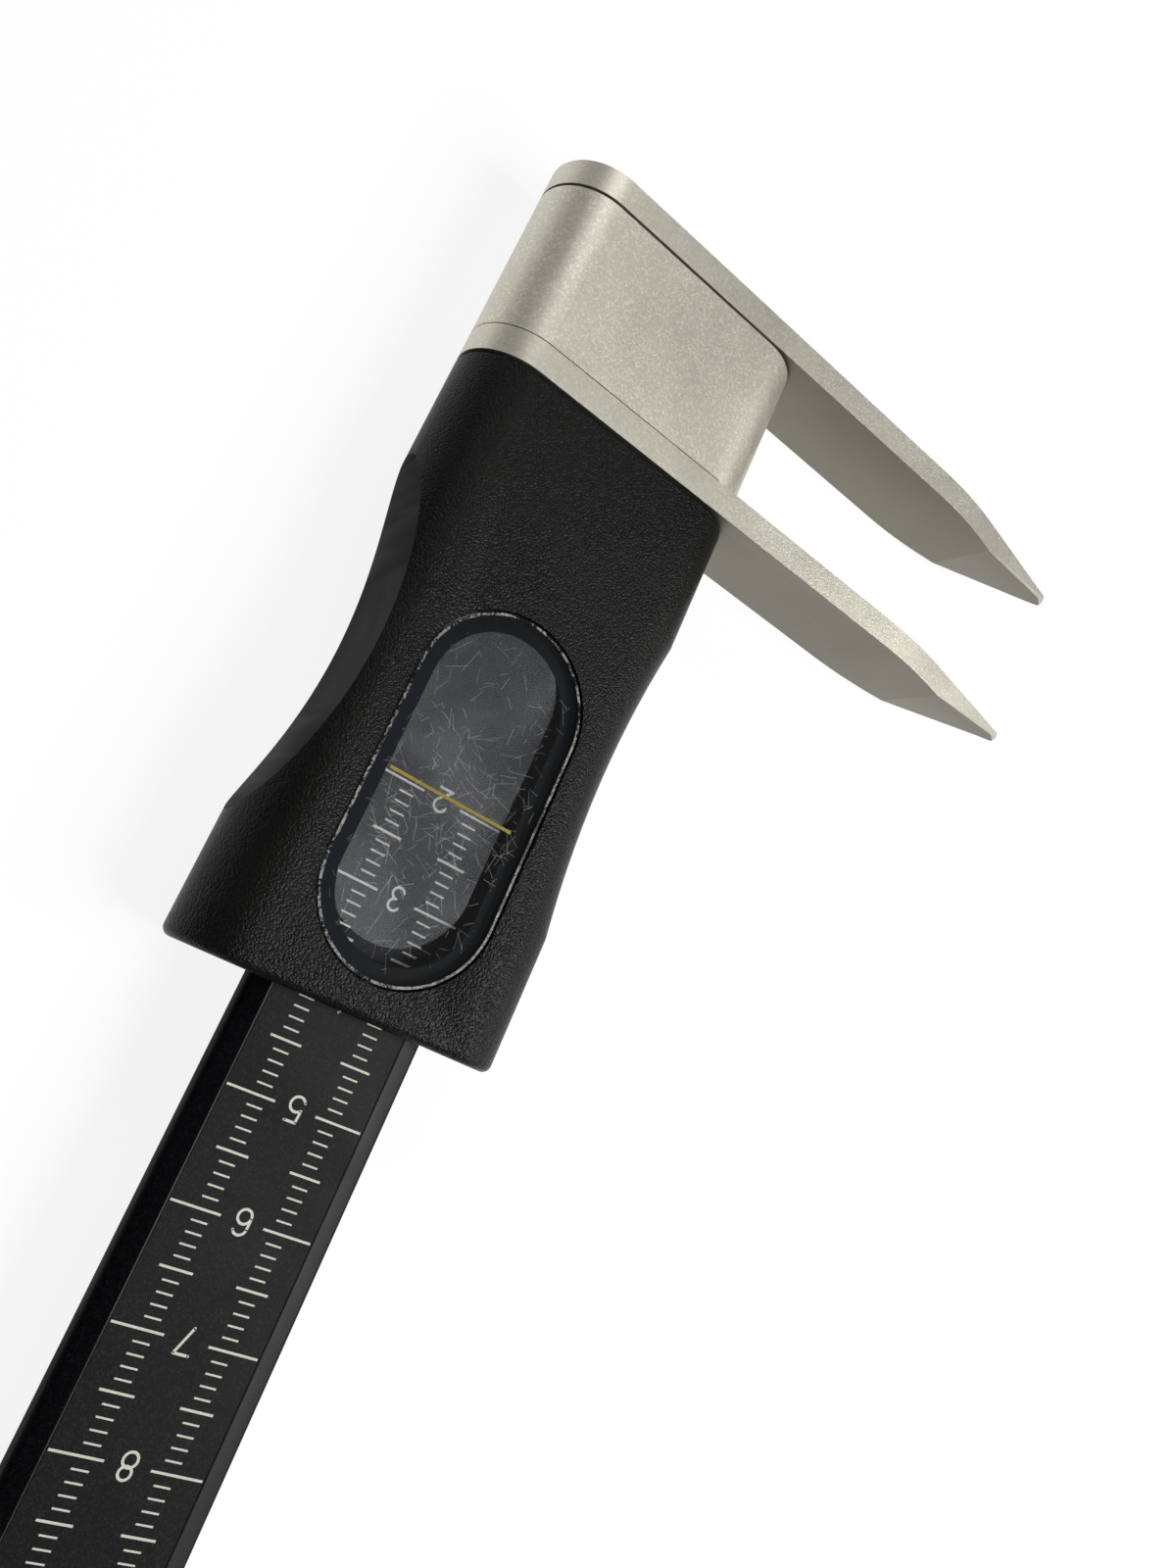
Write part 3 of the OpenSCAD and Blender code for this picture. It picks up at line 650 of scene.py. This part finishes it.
class ScaleSettings(bpy.types.PropertyGroup):
    """Marks and numbers of the scale."""
    first_mark: bpy.props.IntProperty(
        name="First mark", description="Smallest reading, in millimetres", default=20)
    last_mark: bpy.props.IntProperty(
        name="Last mark", description="Largest reading, in millimetres", default=160)
    long_mark: bpy.props.FloatProperty(
        name="Centimetre marks", description="Length of the centimetre marks",
        subtype="DISTANCE", unit="LENGTH", default=4.6 * MM)
    middle_mark: bpy.props.FloatProperty(
        name="Half marks", description="Length of the half-centimetre marks",
        subtype="DISTANCE", unit="LENGTH", default=3.0 * MM)
    short_mark: bpy.props.FloatProperty(
        name="Millimetre marks", description="Length of the millimetre marks",
        subtype="DISTANCE", unit="LENGTH", default=1.5 * MM)
    long_inset: bpy.props.FloatProperty(
        name="Inner ends", description="Distance of the longer marks from the centreline",
        subtype="DISTANCE", unit="LENGTH", default=2.0 * MM)
    short_inset: bpy.props.FloatProperty(
        name="Inner ends, short",
        description="Distance of the millimetre marks from the centreline",
        subtype="DISTANCE", unit="LENGTH", default=2.75 * MM)
    number_height: bpy.props.FloatProperty(
        name="Number height", description="Height of the numbers",
        subtype="DISTANCE", unit="LENGTH", default=2.2 * MM)
    number_gap: bpy.props.FloatProperty(
        name="Digit spacing", description="Distance between the middles of two digits",
        subtype="DISTANCE", unit="LENGTH", default=1.75 * MM)
    line_width: bpy.props.FloatProperty(
        name="Line width", description="Width of the longer marks",
        subtype="DISTANCE", unit="LENGTH", default=0.21 * MM)
    stroke_width: bpy.props.FloatProperty(
        name="Stroke width", description="Width of the numbers' strokes",
        subtype="DISTANCE", unit="LENGTH", default=0.235 * MM)
    short_width: bpy.props.FloatProperty(
        name="Fine line width", description="Width of the millimetre marks",
        subtype="DISTANCE", unit="LENGTH", default=0.16 * MM)
    ink: bpy.props.FloatVectorProperty(
        name="Ink", description="Colour of marks and numbers",
        subtype="COLOR", size=3, default=(0.50, 0.485, 0.415))
    ink_worn: bpy.props.FloatVectorProperty(
        name="Ink, worn", description="Paler grains of marks and numbers",
        subtype="COLOR", size=3, default=(0.66, 0.64, 0.56))


class WindowSettings(bpy.types.PropertyGroup):
    """Wear of the window's lens, and the light and shade painted into its dust film."""
    rim: bpy.props.FloatProperty(
        name="Rim", description="Width of the lens's chipped rim",
        subtype="DISTANCE", unit="LENGTH", default=0.25 * MM)
    ledge: bpy.props.FloatProperty(
        name="Ledge", description="Width of the ledge that shows through the lens's edge",
        subtype="DISTANCE", unit="LENGTH", default=1.75 * MM)
    # Painted shade: the dust veils less in the band that the ledge would shade
    haze: bpy.props.FloatProperty(
        name="Haze", description="How much the dust on the inner face veils", default=0.016,
        min=0.0, max=1.0)
    # Painted light: the dust veils more where light through the lens would reach the strip
    lit_haze: bpy.props.FloatProperty(
        name="Lit haze", description="How much the dust veils where the light reaches it",
        default=0.056, min=0.0, max=1.0)
    # Painted shade: width of the band of thinner dust along the ledge
    shade: bpy.props.FloatProperty(
        name="Shade", description="Width of the shade that the ledge throws on the lit haze",
        subtype="DISTANCE", unit="LENGTH", default=1.5 * MM)
    scratches: bpy.props.IntProperty(
        name="Scratches", description="Number of fine scratches on the lens", default=360)
    scratch_width: bpy.props.FloatProperty(
        name="Scratch width", description="Greatest width of a scratch",
        subtype="DISTANCE", unit="LENGTH", default=0.02 * MM)
    specks: bpy.props.IntProperty(
        name="Specks", description="Number of small nicks on the lens", default=90)
    seed: bpy.props.IntProperty(
        name="Seed", description="Start of the scratches' random places", default=11)


class StageSettings(bpy.types.PropertyGroup):
    """Floor and light."""
    key_power: bpy.props.FloatProperty(
        name="Key power", description="Power of the main lamp", subtype="POWER", unit="POWER",
        default=7.0)
    side_power: bpy.props.FloatProperty(
        name="Side power", description="Power of the side lamp", subtype="POWER", unit="POWER",
        default=1.12)
    fill_power: bpy.props.FloatProperty(
        name="Fill power", description="Power of the wide lamp that fills the shaded side",
        subtype="POWER", unit="POWER", default=0.2)
    sky: bpy.props.FloatProperty(
        name="Sky", description="Strength of the even light all round", default=0.12)
    floor_white: bpy.props.FloatProperty(
        name="Floor white", description="Share of plain white in the floor as it is seen",
        default=0.88)


class CALIPER_OT_metal(bpy.types.Operator):
    """Head block, blades and their screws and dowels"""
    bl_idname = "caliper.metal"
    bl_label = "Head and Jaws"

    def execute(self, context):
        finish = context.scene.caliper_finish
        silver_tones = finish.silver_dark, finish.silver_light
        silver = blasted_aluminium("Blasted Aluminium", *silver_tones)
        edges = blasted_aluminium("Blade Edges", *silver_tones, sparkle=0.5, relief=0.022 * MM)
        # The flats' darker tone is painted shade
        flats = blasted_aluminium("Satin Blade Flats", finish.flat_dark, finish.flat_light,
                                  roughness=0.56, sparkle=0.25, relief=0.008 * MM)
        rounded_copy("head_block", [silver], FRAME_BODY, finish.metal_edge)
        for node, body in (("fixed_jaw", FRAME_BODY), ("moving_jaw", SLIDER_BODY)):
            rounded_copy(node, [edges, flats], body, finish.metal_edge,
                         pick=is_flat_side)
        steel = machined_metal("Screw Steel")
        for node in ("fixed_jaw_screws", "moving_jaw_screws", "head_screws", "end_cap_screw",
                     "cover_screws"):
            dress_node(node, steel)
        ground = machined_metal("Ground Steel", roughness=0.2)
        for node in ("fixed_jaw_dowels", "moving_jaw_dowels", "brake_spring"):
            dress_node(node, ground)
        dress_node("threaded_inserts", machined_metal("Insert Brass"))
        return {"FINISHED"}


class CALIPER_OT_beam(bpy.types.Operator):
    """Beam, scale strip and end cap"""
    bl_idname = "caliper.beam"
    bl_label = "Beam and End Cap"

    def execute(self, context):
        finish = context.scene.caliper_finish
        tones = finish.beam_tone, [BEAM_LIGHT * part for part in finish.beam_tone]
        black = black_anodised("Black Anodised Beam", *tones, specular=0.22, grain_scale=9000.0,
                               roughness=0.46)
        dull = black_anodised("Dull Beam Sides", *tones, specular=0.03, grain_scale=9000.0,
                              roughness=0.5)
        rounded_copy("beam", [black, dull], FRAME_BODY, finish.beam_edge,
                     pick=is_dull_side, shape=round_lips)
        strip = black_anodised("Black Anodised Scale", finish.strip_dark, finish.strip_light,
                               specular=0.1, grain_scale=7500.0, roughness=0.5)
        dress_node("scale_strip", strip)
        cap = pebbled_plastic("End Cap Plastic", finish.housing_dark, finish.housing_light,
                              specular=0.3)
        rounded_copy("end_cap", [cap], FRAME_BODY, finish.cover_edge)
        return {"FINISHED"}


class CALIPER_OT_slider(bpy.types.Operator):
    """Slider housing, rear cover and carriage"""
    bl_idname = "caliper.slider"
    bl_label = "Slider"

    def execute(self, context):
        finish = context.scene.caliper_finish
        pebbled = pebbled_plastic("Housing Plastic", finish.housing_dark, finish.housing_light,
                                  specular=0.13)
        light = [SCALLOP_LIGHT * part for part in finish.scallop_tone]
        smooth = plain_plastic("Housing Smooth", finish.scallop_tone, light, specular=0.06,
                               roughness=0.6)
        rounded_copy("slider_housing", [pebbled, smooth], SLIDER_BODY,
                     finish.housing_edge, pick=is_scallop, flatness=HOUSING_FLATNESS)
        rounded_copy("rear_cover", [pebbled], SLIDER_BODY, finish.cover_edge)
        dress_node("carrier", plain_plastic("Carrier Plastic", *TONES["Carrier Plastic"]))
        pale = plain_plastic("Glide Plastic", *TONES["Glide Plastic"], specular=0.45)
        for node in ("side_glide_left", "side_glide_right", "brake_pad"):
            dress_node(node, pale)
        return {"FINISHED"}


class CALIPER_OT_scale(bpy.types.Operator):
    """Paint-filled marks and printed numbers of the scale"""
    bl_idname = "caliper.scale"
    bl_label = "Scale"

    def execute(self, context):
        rules = context.scene.caliper_scale
        ink = printed_ink("Scale Paint", rules.ink, rules.ink_worn)
        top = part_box("scale_strip")[1][2]
        hair_low, hair_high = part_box("hairline")
        zero = (hair_low[0] + hair_high[0]) / 2 - rules.first_mark * MM
        finish_piece(draw_marks(rules, zero, top), "scale_marks", [ink], FRAME_BODY)
        finish_piece(draw_numbers(rules, zero, top), "scale_numbers", [ink], FRAME_BODY)
        return {"FINISHED"}


def draw_marks(rules, zero, top):
    """The paint in the grooves on both sides of the scale."""
    work = bmesh.new()
    for reading in range(rules.first_mark, rules.last_mark + 1):
        if reading % 10 == 0:
            length, width, inset = rules.long_mark, rules.line_width, rules.long_inset
        elif reading % 5 == 0:
            length, width, inset = rules.middle_mark, rules.line_width, rules.long_inset
        else:
            length, width, inset = rules.short_mark, rules.short_width, rules.short_inset
        for side in (-1, 1):
            place = Matrix.Translation((zero + reading * MM, side * (inset + length / 2),
                                        top - PAINT_MIDDLE))
            size = Matrix.Diagonal((width, length - PAINT_GAP, PAINT_DEPTH, 1.0))
            bmesh.ops.create_cube(work, size=1.0, matrix=place @ size)
    return work


def draw_numbers(rules, zero, top):
    """The numbers at the centimetre marks, with their tops towards the tail."""
    work = bmesh.new()
    upright = Matrix(((0, 1, 0, 0), (-1, 0, 0, 0), (0, 0, 1, 0), (0, 0, 0, 1)))
    for centimetre in range(rules.first_mark // 10, rules.last_mark // 10 + 1):
        digits = str(centimetre)
        for index, digit in enumerate(digits):
            before = set(work.verts)
            draw_digit(work, digit, rules.number_height / DIGIT_FIELD, rules.stroke_width)
            drawn = [corner for corner in work.verts if corner not in before]
            shift = (index - (len(digits) - 1) / 2) * rules.number_gap
            place = Matrix.Translation((zero + centimetre * 10 * MM, 0.0, top)) @ upright
            bmesh.ops.transform(work, verts=drawn,
                                matrix=place @ Matrix.Translation((shift, 0.0, 0.0)))
    thicken(work, NUMBER_THICKNESS)
    return work


class CALIPER_OT_window(bpy.types.Operator):
    """Lens, its wear, its dust film with painted light and shade, gasket and hairline"""
    bl_idname = "caliper.window"
    bl_label = "Window"

    def execute(self, context):
        wear = context.scene.caliper_window
        clear = clear_acrylic("Worn Lens", LENS_TINT)
        rim = chipped_rim("Chipped Rim")
        work = copy_node("window_lens")
        face = max(work.faces, key=lambda one: one.normal.z * one.calc_area())
        band = bmesh.ops.inset_region(work, faces=[face], thickness=wear.rim,
                                      use_even_offset=True)["faces"]
        for part in band:
            part.material_index = 1
        lens = finish_piece(work, "window_lens_worn", [clear, rim], SLIDER_BODY)
        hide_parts("window_lens")
        add_haze(wear)
        add_wear(wear)
        rubber = plain_plastic("Gasket Rubber", *TONES["Gasket Rubber"], specular=0.08)
        dress_node("window_gasket", rubber)
        dress_node("hairline", printed_ink("Hairline Yellow", *TONES["Hairline Yellow"]))
        return {"FINISHED"}


def add_haze(wear):
    """Dust on the lens's inner face, within the ledge, that also paints light: thicker where light
    would reach the strip, thinner in a painted shade along the ledge.
    """
    work = copy_node("window_lens")
    under = min(work.faces, key=lambda one: one.normal.z * one.calc_area())
    bmesh.ops.inset_region(work, faces=[under], thickness=wear.ledge, use_even_offset=True)
    bmesh.ops.delete(work, geom=[one for one in work.faces if one is not under], context="FACES")
    # The inner patch is painted light and the band around it painted shade, shifted as the ledge's
    # shadow falls
    bmesh.ops.inset_region(work, faces=[under], thickness=wear.shade, use_even_offset=True)
    shift = -SHADE_SHIFT * wear.shade
    bmesh.ops.translate(work, verts=under.verts, vec=(shift, shift, 0.0))
    under.material_index = 1
    bmesh.ops.translate(work, verts=work.verts, vec=(0.0, 0.0, -2 * WEAR_THICKNESS))
    thicken(work, WEAR_THICKNESS)
    # The thinner film is painted shade, the thicker one painted light
    films = [dusty_film("Window Haze", wear.haze), dusty_film("Lit Window Haze", wear.lit_haze)]
    finish_piece(work, "window_haze", films, SLIDER_BODY)


def add_wear(wear):
    """Fine scratches and nicks on the lens's face."""
    low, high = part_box("window_lens")
    half = (high[1] - low[1]) / 2
    reach = (high[0] - low[0]) / 2 - half
    middle = Vector(((low[0] + high[0]) / 2, (low[1] + high[1]) / 2, high[2]))
    dice = random.Random(wear.seed)

    def pick_place():
        """A place on the face, more often towards its tail end."""
        along = dice.triangular(-reach - half, reach + half, WEAR_CENTRE * reach)
        beyond = max(0.0, abs(along) - reach)
        room = math.sqrt(max(0.0, (WEAR_ROOM * half) ** 2 - beyond ** 2))
        return along, dice.uniform(-room, room)

    work = bmesh.new()
    for _ in range(wear.scratches):
        along, across = pick_place()
        radius = dice.uniform(*SCRATCH_RADIUS) * MM
        length = dice.triangular(*SCRATCH_LENGTH) * MM
        start = dice.uniform(0.0, 360.0)
        centre = arc_point((along, across), -radius, start)
        width = wear.scratch_width * dice.uniform(*SCRATCH_WIDTH_SHARE)
        stop = start + math.degrees(length / radius)
        end = arc_point(centre, radius, stop)
        if math.hypot(max(0.0, abs(end[0]) - reach), end[1]) < WEAR_REACH * half:
            sweep_arc(work, centre, radius, start, stop, width, SCRATCH_STEPS)
    for _ in range(wear.specks):
        size = dice.uniform(*SPECK_RADIUS) * MM
        add_disc(work, pick_place(), size, SPECK_SEGMENTS)
    bmesh.ops.translate(work, verts=work.verts, vec=middle)
    thicken(work, WEAR_THICKNESS)
    scuffed = printed_ink("Scuffed Acrylic", *TONES["Scuffed Acrylic"])
    finish_piece(work, "window_scratches", [scuffed], SLIDER_BODY)


class CALIPER_OT_stage(bpy.types.Operator):
    """Camera, floor, lamps and even light"""
    bl_idname = "caliper.stage"
    bl_label = "Stage"

    def execute(self, context):
        scene = context.scene
        stage = scene.caliper_stage
        scene.view_settings.view_transform = "Standard"
        add_camera(scene)
        add_floor(stage.floor_white)
        add_world(scene, stage.sky)
        for name, (power, place, size) in LAMPS.items():
            add_lamp(name, getattr(stage, power), place, size)
        return {"FINISHED"}


def add_camera(scene):
    """The photograph's camera."""
    data = bpy.data.cameras.new("Photo Camera")
    data.sensor_fit = "AUTO"
    data.sensor_width = SENSOR_MM
    data.lens = SENSOR_MM * FOCAL_PIXELS / PHOTO_HEIGHT
    data.clip_start = CLIP_START
    camera = bpy.data.objects.new("Photo Camera", data)
    axes = Matrix((CAMERA_RIGHT, CAMERA_UP, CAMERA_BACK)).transposed()
    camera.matrix_world = Matrix.Translation(CAMERA_PLACE) @ axes.to_4x4()
    scene.collection.objects.link(camera)
    scene.camera = camera


def add_floor(white):
    """Pale floor that shows partly plain white where it is seen and keeps a soft shadow."""
    work = bmesh.new()
    bmesh.ops.create_grid(work, x_segments=2, y_segments=2, size=FLOOR_HALF_SIZE)
    bmesh.ops.translate(work, verts=work.verts, vec=(0.0, 0.0, -FLOOR_DROP))
    mesh = bpy.data.meshes.new("floor")
    work.to_mesh(mesh)
    work.free()
    floor = bpy.data.objects.new("floor", mesh)
    bpy.context.scene.collection.objects.link(floor)
    material = bpy.data.materials.new("Pale Floor")
    material.use_nodes = True
    tree = material.node_tree
    tree.nodes.clear()
    out = add_node(tree, "ShaderNodeOutputMaterial", (600, 0))
    matte = add_node(tree, "ShaderNodeBsdfDiffuse", (0, 100), in_Color=FLOOR_COLOUR)
    glow = add_node(tree, "ShaderNodeEmission", (0, -100), in_Color=WHITE, in_Strength=1.0)
    share = calculate(tree, "MULTIPLY", (-100, 350), white_rays(tree), white)
    mixed = add_node(tree, "ShaderNodeMixShader", (350, 0))
    tree.links.new(share, mixed.inputs[0])
    tree.links.new(matte.outputs[0], mixed.inputs[1])
    tree.links.new(glow.outputs[0], mixed.inputs[2])
    tree.links.new(mixed.outputs[0], out.inputs["Surface"])
    mesh.materials.append(material)


def white_rays(tree):
    """1 for rays from the camera, a reflection or a transmission."""
    rays = add_node(tree, "ShaderNodeLightPath", (-600, 300)).outputs
    seen = calculate(tree, "MAXIMUM", (-350, 350), rays["Is Camera Ray"], rays["Is Glossy Ray"])
    return calculate(tree, "MAXIMUM", (-200, 350), seen, rays["Is Transmission Ray"])


def add_world(scene, strength):
    """Even light all round."""
    world = bpy.data.worlds.new("Studio")
    scene.world = world
    world.use_nodes = True
    light = world.node_tree.nodes["Background"]
    light.inputs["Color"].default_value = SKY_COLOUR
    light.inputs["Strength"].default_value = strength


def add_lamp(name, power, place, size):
    """A square area lamp that faces the lamps' shared target."""
    data = bpy.data.lights.new(name, "AREA")
    data.energy = power
    data.size = size
    lamp = bpy.data.objects.new(name, data)
    turn = (Vector(LAMP_TARGET) - Vector(place)).to_track_quat("-Z", "Y")
    lamp.matrix_world = Matrix.Translation(place) @ turn.to_matrix().to_4x4()
    bpy.context.scene.collection.objects.link(lamp)


OPERATORS = (CALIPER_OT_metal, CALIPER_OT_beam, CALIPER_OT_slider, CALIPER_OT_scale,
             CALIPER_OT_window, CALIPER_OT_stage)


class CALIPER_PT_panel(bpy.types.Panel):
    """Lists the caliper's operators"""
    bl_idname = "CALIPER_PT_panel"
    bl_label = "Sliding Caliper"
    bl_space_type = "VIEW_3D"
    bl_region_type = "UI"
    bl_category = "Caliper"

    def draw(self, context):
        for operator in OPERATORS:
            self.layout.operator(operator.bl_idname)


SETTINGS = {"caliper_finish": FinishSettings, "caliper_scale": ScaleSettings,
            "caliper_window": WindowSettings, "caliper_stage": StageSettings}
CLASSES = (*SETTINGS.values(), *OPERATORS, CALIPER_PT_panel)


def register():
    for one in CLASSES:
        bpy.utils.register_class(one)
    for key, group in SETTINGS.items():
        setattr(bpy.types.Scene, key, bpy.props.PointerProperty(type=group))


def unregister():
    for key in SETTINGS:
        delattr(bpy.types.Scene, key)
    for one in reversed(CLASSES):
        bpy.utils.unregister_class(one)


def main():
    register()
    bpy.ops.caliper.metal()
    bpy.ops.caliper.beam()
    bpy.ops.caliper.slider()
    bpy.ops.caliper.scale()
    bpy.ops.caliper.window()
    bpy.ops.caliper.stage()


if __name__ == "__main__":
    main()
